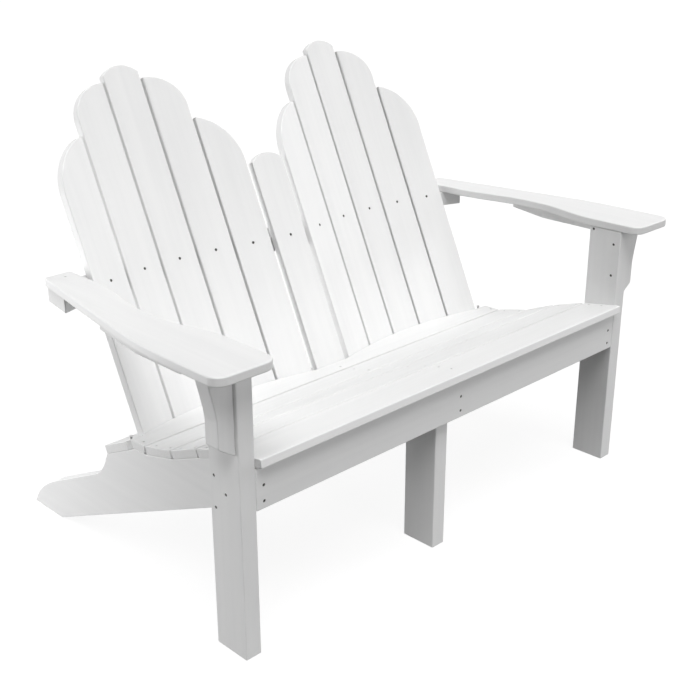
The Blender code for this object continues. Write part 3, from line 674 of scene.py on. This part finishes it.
for index in range(5):
    width = seatWidths[index]
    seatHoles = []
    for x in seatSet["screwX"]:
        for y in seatScrews[index]:
            seatHoles.append((x, y * mm, 1))
            turn, origin = seatPlace(index)
            head = np.array([x, y * mm, slatBoard["thick"] / 2]) @ turn + origin
            screwPlaces.append(("seat_screw_%d_%d" % (index + 1, len(seatHoles)),
                                head + middle, -turn[2], False))
    if index < 4:
        outline = rectangle(-innerEnd, 0, innerEnd, width)
        shear = None
    else:
        tilted = lean - math.radians(seatSet["slopes"][-1])
        rear = fanEdge(chordRadius - gap, innerEnd)
        rear = np.stack([rear[:, 0], seatSet["rearWidth"] + rear[:, 1] / math.cos(tilted)], 1)
        outline = np.vstack([rear[::-1], (-innerEnd, 0), (innerEnd, 0)])
        shear = {"from": seatSet["rearWidth"] / 2, "over": 10 * mm, "slope": math.tan(tilted)}
    plank("seat_slat_%d" % (index + 1), outline, slatBoard["thick"], seatSet["round"],
          seatPlace(index), 0, holes=seatHoles, lean=shear,
          endInset=seatSet["endInset"])
print("seat made")

# Back rails
lowerOutline = np.vstack([fanEdge(railRadius, innerEnd), (innerEnd, lowerRear), (-innerEnd, lowerRear)])
railMiddle = sidePoint(-railSet["lowerDrop"] - slatBoard["thick"] / 2, 0)
plank("lower_back_rail", lowerOutline, slatBoard["thick"], railSet["sawnRound"],
      axes(lengthwise, (0, *throughSlat), (0, *upSlat), (0, *railMiddle)), 0)


def armEdge(y):
    # Straight taper of the arm's outer edge.
    share = (y - armSet["taperStart"]) / (armRear - armSet["taperStart"])
    return armOuter + (armRearOuter - armOuter) * share


railFront = fanEdge(railRadius, fanLimit)[fanSteps + 1:]
railFront = np.array([(x, depthAtHeight(y, frameTop)) for x, y in railFront])
hornTip = railFront[-1, 1] - railSet["upperHorn"]
railRight = np.vstack([
    railFront, (armEdge(hornTip) - railSet["upperInset"], hornTip),
    (armEdge(upperRear) - railSet["upperInset"], upperRear)])
plank("upper_back_rail", np.vstack([railRight, railRight[::-1] * (-1, 1)]),
      frameBoard["thick"], railSet["upperRound"],
      levelAt(frameTop - frameBoard["thick"] / 2), 0)
print("back rails made")


# Back slats
def crown(top):
    # Arc over the whole width: (r sin a, top - r (1 - cos a)).
    half = slatWidth / 2
    radius = (half ** 2 + backSet["crownRise"] ** 2) / 2 / backSet["crownRise"]
    angle = math.asin(half / radius) * np.linspace(1, -1, 33)
    return np.stack([radius * np.sin(angle), top - radius * (1 - np.cos(angle))], 1)


def shoulder(top, fall, power, fallSide):
    # Falls away to one edge: across by sin(a)^(2/power), down by 1 - cos a.
    angle = math.pi / 2 * np.linspace(0, 1, 49)
    across = slatWidth * (np.sin(angle) ** (2 / power) - 0.5)
    curve = np.stack([fallSide * across, top - fall * (1 - np.cos(angle))], 1)
    return curve if fallSide < 0 else curve[::-1]


def slatPlace(number):
    # Frame of a back slat at the seat line: X across, Y up, Z out of its front, and its top.
    outward = np.array([0, -throughSlat[0], -throughSlat[1]])
    count = backSet["slats"]
    foot = np.array([0, *backFoot])
    if number == count + 1:
        return (np.array(lengthwise, float), outward, foot - outward * shortDepth,
                crown(backSet["shortTop"]))
    group = -1 if number <= count else 1
    step = number - (1 if group < 0 else count + 2) - (count - 1) / 2
    angle = step * (slatAngle + gapAngle)
    across = np.array([1, 0, 0]) * math.cos(angle) + outward * math.sin(angle)
    facing = outward * math.cos(angle) - np.array([1, 0, 0]) * math.sin(angle)
    depth = chordRadius * math.cos(angle) - fanRadius
    place = foot + (group * fanX + chordRadius * math.sin(angle), 0, 0) - outward * depth
    if step == 0:
        top = crown(backSet["tallTop"])
    else:
        shape = backSet["nextTop"] if abs(step) == 1 else backSet["outerTop"]
        top = shoulder(*shape, 1 if step > 0 else -1)
    return across, facing, place, top


slatLow = -railSet["lowerDrop"] - slatBoard["thick"]
for number in range(1, 2 * backSet["slats"] + 2):
    name = "%02d" % number
    across, facing, foot, top = slatPlace(number)
    rearZ = (foot - facing * slatBoard["thick"])[2]
    up = (frameTop - screwSet["backDrop"] - rearZ) / math.cos(lean)
    upAxis = np.array([0, *upSlat])
    screwPlaces.append(("back_screw_" + name, foot + upAxis * up, -facing, True))
    outline = np.vstack([top, (-slatWidth / 2, slatLow), (slatWidth / 2, slatLow)])
    plank("back_slat_" + name, outline, slatBoard["thick"], slatBoard["round"],
          axes(across, upAxis, facing, foot - facing * slatBoard["thick"] / 2), 1,
          holes=[(0.0, up, 1)])
print("back slats made")

# Arms, supports, brackets
supportSet = {
    "thick": 21.0 * mm, "lap": 7.0 * mm, "width": 59.0 * mm, "tip": 0.6,
    "length": 299.0 * mm, "inner": 0.56, "outer": 0.455, "round": 2.5 * mm,
}


def ease(t):
    return (1 - np.cos(math.pi * t)) / 2


def armOutline():
    # Right arm from above, with the radius of each corner.
    hollow = armSet["hollow"]
    bend = np.array([armOuter, armSet["taperStart"]])
    before = bend - (0, armSet["taperEase"])
    after = np.array([armEdge(bend[1] + armSet["taperEase"]), bend[1] + armSet["taperEase"]])
    taper = bezier(before, bend, after)
    t = np.linspace(0, 1, 33)
    fullStart = hollow["start"] + hollow["in"]
    rising = np.stack([armInner + hollow["depth"] * ease(t),
                       fullStart + hollow["flat"] + hollow["out"] * (1 - t)], 1)
    falling = np.stack([armInner + hollow["depth"] * ease(1 - t),
                        fullStart - hollow["in"] * t], 1)
    points = np.vstack([(armInner, -armSet["nose"]), (armOuter, -armSet["nose"]), taper,
                        (armRearOuter, armRear), (armInner, armRear), rising, falling])
    radius = np.full(len(points), armSet["rearRound"])
    radius[:2] = armSet["frontRound"]
    return points, radius


armPoints, armRadius = armOutline()
armScrews = ((584.0, 601.0),)
for side, sign in sides.items():
    armHoles = []
    for x, y in armScrews:
        armHoles.append((sign * x * mm, y * mm, 1))
        screwPlaces.append(("arm_screw_%s_%d" % (side, len(armHoles)),
                            (sign * x * mm, y * mm, overall["armHeight"]), (0, 0, -1), False))
    setPoints = armPoints + np.stack([armOut(side, armPoints[:, 1]), 0 * armPoints[:, 1]], 1)
    plank("arm_" + side, setPoints * (sign, 1), armSet["thick"], armSet["round"],
          levelAt(overall["armHeight"] - armSet["thick"] / 2), 1, corner=armRadius,
          holes=armHoles)
    inner = legOuter - supportSet["lap"]
    outer = inner + supportSet["width"]
    front = frameBoard["width"] + gap
    outline = np.array([
        (inner, front), (outer, front),
        (outer, front + supportSet["length"] * supportSet["outer"]),
        (inner + supportSet["width"] * supportSet["tip"], front + supportSet["length"]),
        (inner, front + supportSet["length"] * supportSet["inner"])])
    plank("arm_support_" + side, outline * (sign, 1), supportSet["thick"], supportSet["round"],
          levelAt(frameTop - supportSet["thick"] / 2), 1)
    low = frameTop - bracketSet["drop"]
    flare = bezier((bracketSet["topReach"], frameTop),
                   (bracketSet["reach"], frameTop - bracketSet["flareDrop"] * bracketSet["flareShare"]),
                   (bracketSet["reach"], frameTop - bracketSet["flareDrop"]))
    outline = np.vstack([(gap, frameTop), flare,
                         (bracketSet["reach"], low + bracketSet["footRise"]), (gap, low)])
    corner = np.full(len(outline), frameBoard["round"] * 1.1)
    corner[-2] = bracketSet["corner"]
    plank("arm_bracket_" + side, (outline + (legOuter, 0)) * (sign, 1), frameBoard["thick"],
          frameBoard["round"], frontOn(bracketSet["setback"] + frameBoard["thick"] / 2), 1,
          corner=corner)
print("arms made")

# Screws
headSet = {
    "radius": 3.2 * mm, "height": 2.4 * mm, "bevel": 0.45 * mm, "shank": 2.0 * mm,
    "driveHalf": 1.25 * mm, "driveDepth": 1.5 * mm, "driveLip": 0.12 * mm,
    "length": 9.0 * mm, "steps": 24,
}


def screwPiece(name, head, direction, node):
    # Turned head with a square drive: a point is (r cos a, r sin a, h) for each ring of the
    # profile, where the rings of the drive have r = half / max(|cos a|, |sin a|).
    size = headSet
    angle = np.linspace(0, 2 * math.pi, size["steps"], endpoint=False) + math.pi / 4
    square = size["driveHalf"] / np.maximum(np.abs(np.cos(angle)), np.abs(np.sin(angle)))
    one = np.ones(size["steps"])
    bevel = size["bevel"]
    rim = one * size["radius"]
    shank = one * size["shank"]
    drive = size["driveDepth"]
    rings = [  # reach, height, tilt of the normal in degrees, how deep in the recess (the share of painted shade there)
        (square * 0.9, -drive, 90.0, 1.0),
        (square * 0.98, -drive * 0.8, 20.0, 1.0),
        (square, -size["driveLip"], 20.0, 0.8),
        (square + size["driveLip"], 0.0, 80.0, 0.3),
        (rim - bevel, 0.0, 90.0, 0.0),
        (rim - 0.29 * bevel, -0.29 * bevel, 45.0, 0.0),
        (rim, -bevel, 0.0, 0.0),
        (rim, -size["height"], 0.0, 0.0),
        (shank, -size["height"], -90.0, 0.0),
        (shank, -size["length"], -45.0, 0.0)]
    reach = np.array([ring[0] for ring in rings])
    height = np.array([ring[1] for ring in rings])
    tilt = np.radians([ring[2] for ring in rings])
    facing = np.where(np.arange(len(rings)) < 4, -1.0, 1.0) * np.cos(tilt)
    circle = np.stack([np.cos(angle), np.sin(angle)], 1)
    flat = reach[:, :, None] * circle[None]
    tall = np.broadcast_to(height[:, None, None], flat.shape[:2] + (1,))
    corners = np.concatenate([flat, tall], 2).reshape(-1, 3)
    level = np.broadcast_to(np.sin(tilt)[:, None, None], flat.shape[:2] + (1,))
    normals = np.concatenate([circle[None] * facing[:, None, None], level], 2).reshape(-1, 3)
    # share by which the material paints shade into the drive recess
    recess = np.repeat([ring[3] for ring in rings], size["steps"])
    faces = gridFaces(len(rings), size["steps"], 0, True).tolist()
    faces.append(list(range(size["steps"])))
    last = (len(rings) - 1) * size["steps"]
    faces.append(list(range(last + size["steps"] - 1, last - 1, -1)))
    out = -np.array(direction, float)
    helper = np.array([0, 0, 1.0]) if abs(out[2]) < 0.9 else np.array([0, 1.0, 0])
    first = np.cross(helper, out)
    first = first / np.linalg.norm(first)
    turn = np.array([first, np.cross(out, first), out])
    origin = np.array(head, float) - middle - out * screwSet["headSink"]
    mesh = makeMesh(name, corners @ turn + origin, faces, normals @ turn,
                    {"grain": corners + np.array(head) * 3, "edge": recess})
    coated = name.startswith(("seat", "arm"))
    addPiece(name + "_head", mesh, screwCoated if coated else screwSteel,
             name if node else None)


for screwName, screwHead, screwDirection, screwNode in screwPlaces:
    screwPiece(screwName, screwHead, screwDirection, screwNode)
print("screws made:", len(screwPlaces))

# Floor, light, camera
studio = {
    "floorSize": 60.0, "floorColour": (0.15, 0.15, 0.15, 1.0),
    "floorMottle": (0.148, 0.148, 0.148, 1.0), "floorGlow": 0.90, "sky": 0.02,
    "suns": (  # name, degrees from the front towards the left, height in degrees, strength, spread
        ("highLeftSun", 45.0, 65.0, 2.20, 40.0),
        ("highRightSun", -45.0, 65.0, 0.34, 40.0),
        ("highRearSun", 180.0, 65.0, 0.42, 40.0),
        ("lowRightSun", -75.0, 20.0, 0.80, 30.0),
        ("lowFrontSun", 0.0, 15.0, 0.80, 30.0),
        ("lowRearSun", 135.0, 15.0, 0.26, 30.0),
    ),
    "boxes": (  # name, place, where it points, size in metres, watts
        ("lowLeftBox", (-1.7, 1.4, 0.3), (-0.4, 0.2, 0.3), 0.8, 22.0),
    ),
}


def seenRay(shading):
    # 1 for rays that show the studio itself: straight, mirrored or through glass.
    path = [shading.add("ShaderNodeLightPath", output=name)
            for name in ("Is Camera Ray", "Is Glossy Ray", "Is Transmission Ray")]
    return shading.maths("MAXIMUM", shading.maths("MAXIMUM", path[0], path[1]), path[2])


def floorMaterial():
    look = studio
    shading = Shading(bpy.data.materials.new("paleFloor"))
    place = shading.add("ShaderNodeTexCoord", output="Object")
    patches = shading.noise(place, 3.0, 3.0)
    tone = shading.blend(patches, look["floorColour"], look["floorMottle"])
    glow = shading.add("ShaderNodeEmission", {}, {
        "Color": (1, 1, 1, 1), "Strength": seenRay(shading) * look["floorGlow"]})
    matt = shading.add("ShaderNodeBsdfDiffuse", {}, {"Color": tone})
    return shading.finish(shading.add("ShaderNodeAddShader", {}, {0: matt, 1: glow}))


def makeFloor():
    half = studio["floorSize"] / 2
    mesh = bpy.data.meshes.new("floor")
    corners = [(-half, -half, 0), (half, -half, 0), (half, half, 0), (-half, half, 0)]
    mesh.from_pydata(corners, [], [(0, 1, 2, 3)])
    mesh.materials.append(floorMaterial())
    floor = bpy.data.objects.new("floor", mesh)
    bpy.context.scene.collection.objects.link(floor)


def makeWorld():
    shading = Shading(bpy.data.worlds.new("studio"))
    bpy.context.scene.world = shading.owner
    white = (1, 1, 1, 1)
    lit = shading.add("ShaderNodeBackground", {}, {"Color": white, "Strength": studio["sky"]})
    seen = shading.add("ShaderNodeBackground", {}, {"Color": white, "Strength": 1.0})
    both = shading.add("ShaderNodeMixShader", {}, {0: seenRay(shading), 1: lit, 2: seen})
    shading.add("ShaderNodeOutputWorld", {}, {"Surface": both})


def addLamp(name, lamp, place, direction):
    # A lamp that shines against the direction its light comes from.
    holder = bpy.data.objects.new(name, lamp)
    bpy.context.scene.collection.objects.link(holder)
    x, y, z = direction
    holder.location = place
    holder.rotation_euler = (math.atan2(math.hypot(x, y), z), 0, math.atan2(x, -y))


def makeLamps():
    for name, turn, rise, strength, spread in studio["suns"]:
        lamp = bpy.data.lights.new(name, "SUN")
        lamp.energy = strength
        lamp.angle = math.radians(spread)
        turn, rise = math.radians(turn), math.radians(rise)
        level = math.cos(rise)
        addLamp(name, lamp, (0, 0, 3),
                (-math.sin(turn) * level, -math.cos(turn) * level, math.sin(rise)))
    for name, place, aim, size, watts in studio["boxes"]:
        lamp = bpy.data.lights.new(name, "AREA")
        lamp.size = size
        lamp.energy = watts
        addLamp(name, lamp, place, np.subtract(place, aim))


cameraSet = {
    "place": (-1.7711, -1.45185, 1.40306), "tilt": 67.82, "turn": -44.61,
    "sensor": 36.0, "lens": 1152.8 / 700 * 36.0,
}


def makeCamera():
    lens = bpy.data.cameras.new("camera")
    lens.sensor_width = cameraSet["sensor"]
    lens.lens = cameraSet["lens"]
    camera = bpy.data.objects.new("camera", lens)
    camera.location = np.array(cameraSet["place"]) - middle
    camera.rotation_euler = (math.radians(cameraSet["tilt"]), 0, math.radians(cameraSet["turn"]))
    bpy.context.scene.collection.objects.link(camera)
    bpy.context.scene.camera = camera


makeFloor()
makeWorld()
makeLamps()
makeCamera()
bpy.context.scene.view_settings.view_transform = "Standard"
print("floor, light and camera made")
